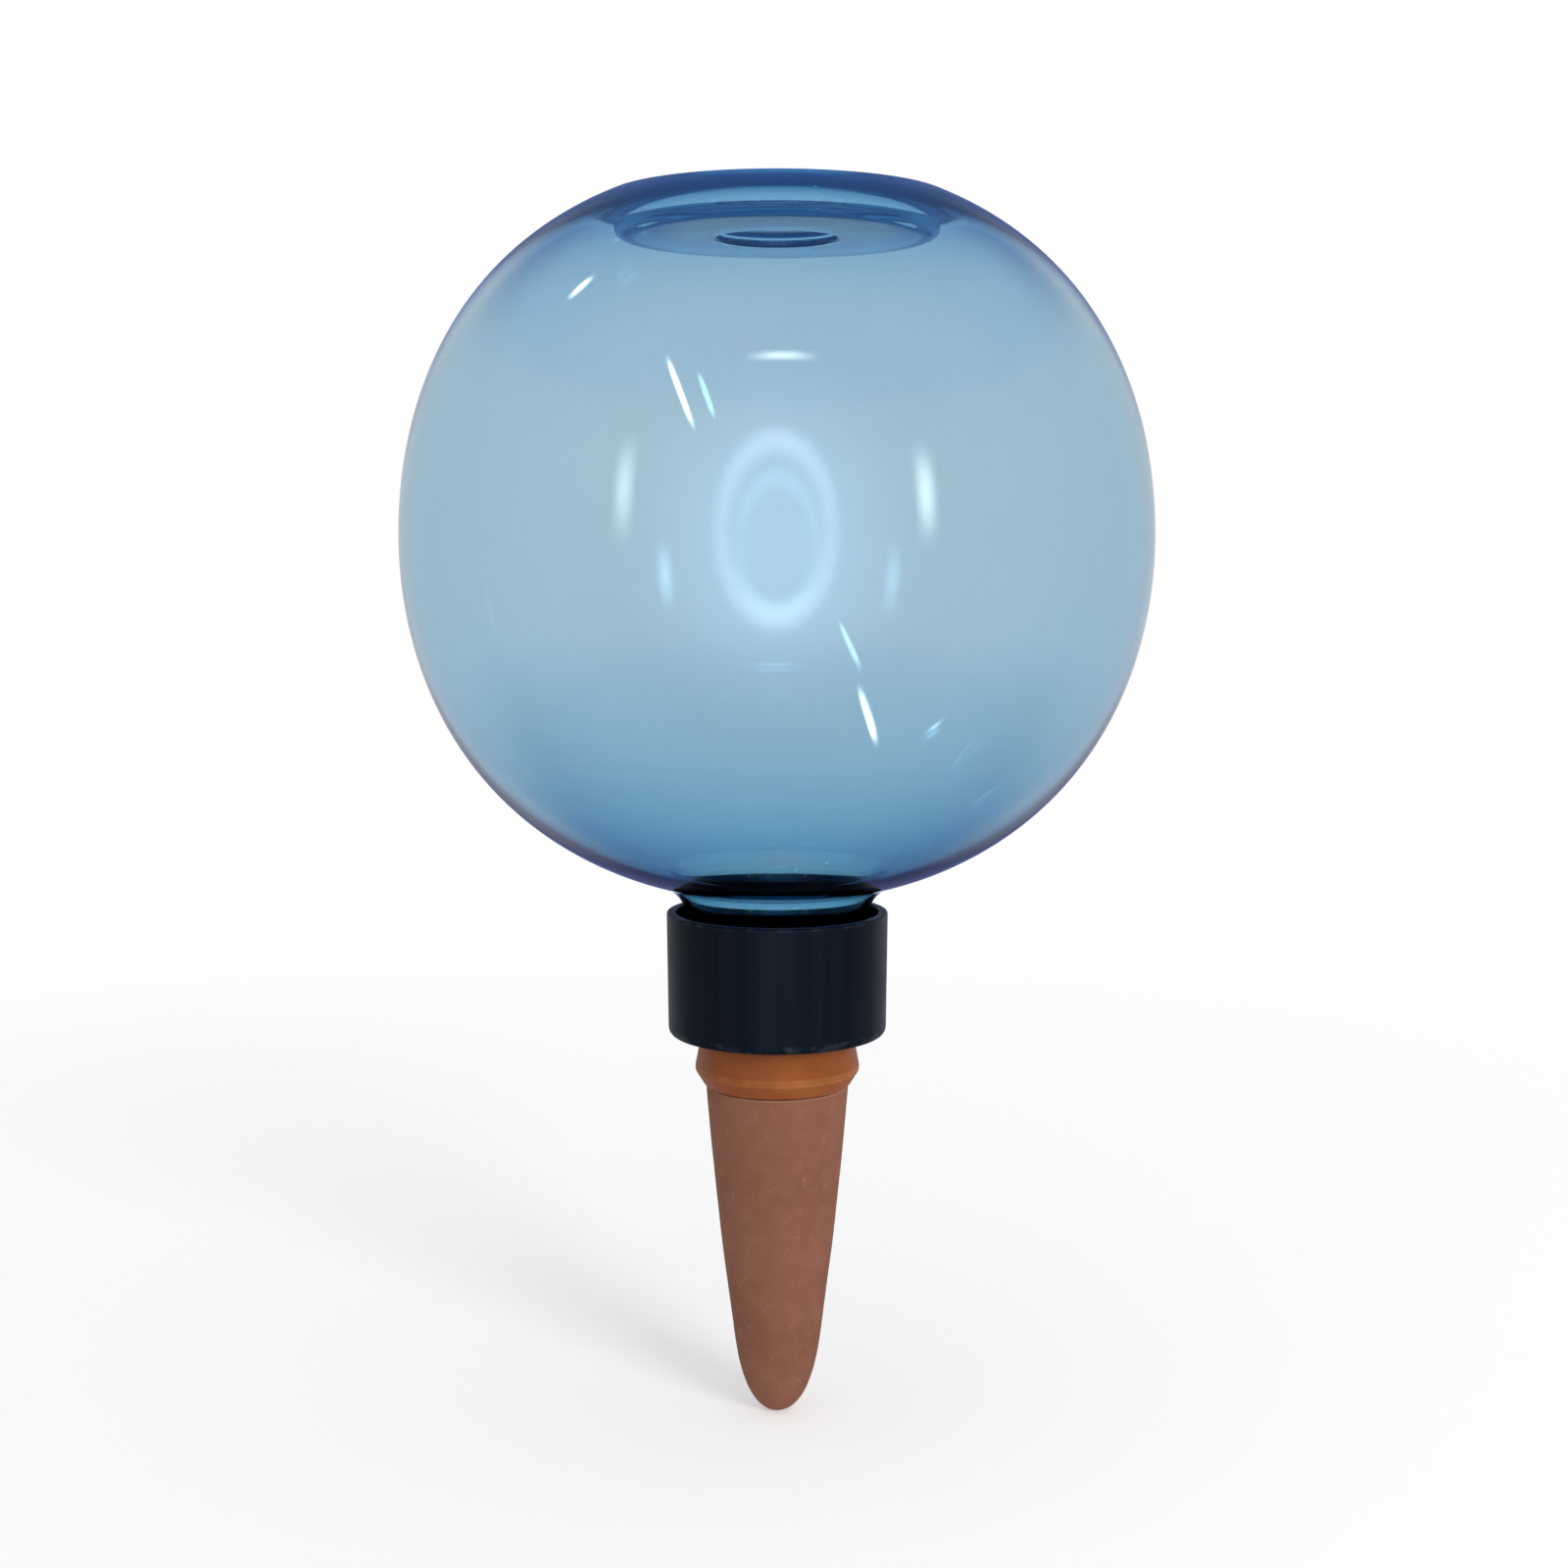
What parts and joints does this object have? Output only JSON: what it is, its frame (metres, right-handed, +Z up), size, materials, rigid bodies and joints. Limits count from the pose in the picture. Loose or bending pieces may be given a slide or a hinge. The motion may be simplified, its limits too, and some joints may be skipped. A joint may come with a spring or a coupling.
{
  "type": "plant watering globe",
  "caption": "Clear blue bottle globe hanging neck down in a black screw cap, with a rubber grommet and a hollow clay cone that stands in pot soil and lets the water seep out.",
  "frame": {"origin": "on the axis at the soil line, the lower edge of the rubber grommet, where the clay cone goes into the soil", "axes": "+Z runs up the common axis of cone, cap and globe; the object is turned about it, so X and Y are free"},
  "size_m": [0.1018, 0.1018, 0.1688],
  "materials": {
    "terracotta": "unglazed",
    "amber_rubber": "satin",
    "black_plastic": "satin",
    "blue_bottle": "clear gloss"
  },
  "bodies": {
    "spike": {"clay_cone": "terracotta", "seal_collar": "amber_rubber"},
    "cap": {"screw_cap": "black_plastic"},
    "globe": {"globe": "blue_bottle"}
  },
  "joints": [
    {"name": "cap_turn", "type": "hinge", "parent": "spike", "child": "cap", "pos_m": [0, 0, 0.0157], "axis": [0, 0, -1], "range_deg": [0, 720]},
    {"name": "globe_lift", "type": "slide", "parent": "spike", "child": "globe", "axis": [0, 0, 1], "range_m": [0, 0.00635]}
  ],
  "couplings": [
    {"joint": "cap_turn", "follows": "globe_lift", "rad_per_m": 1979}
  ]
}
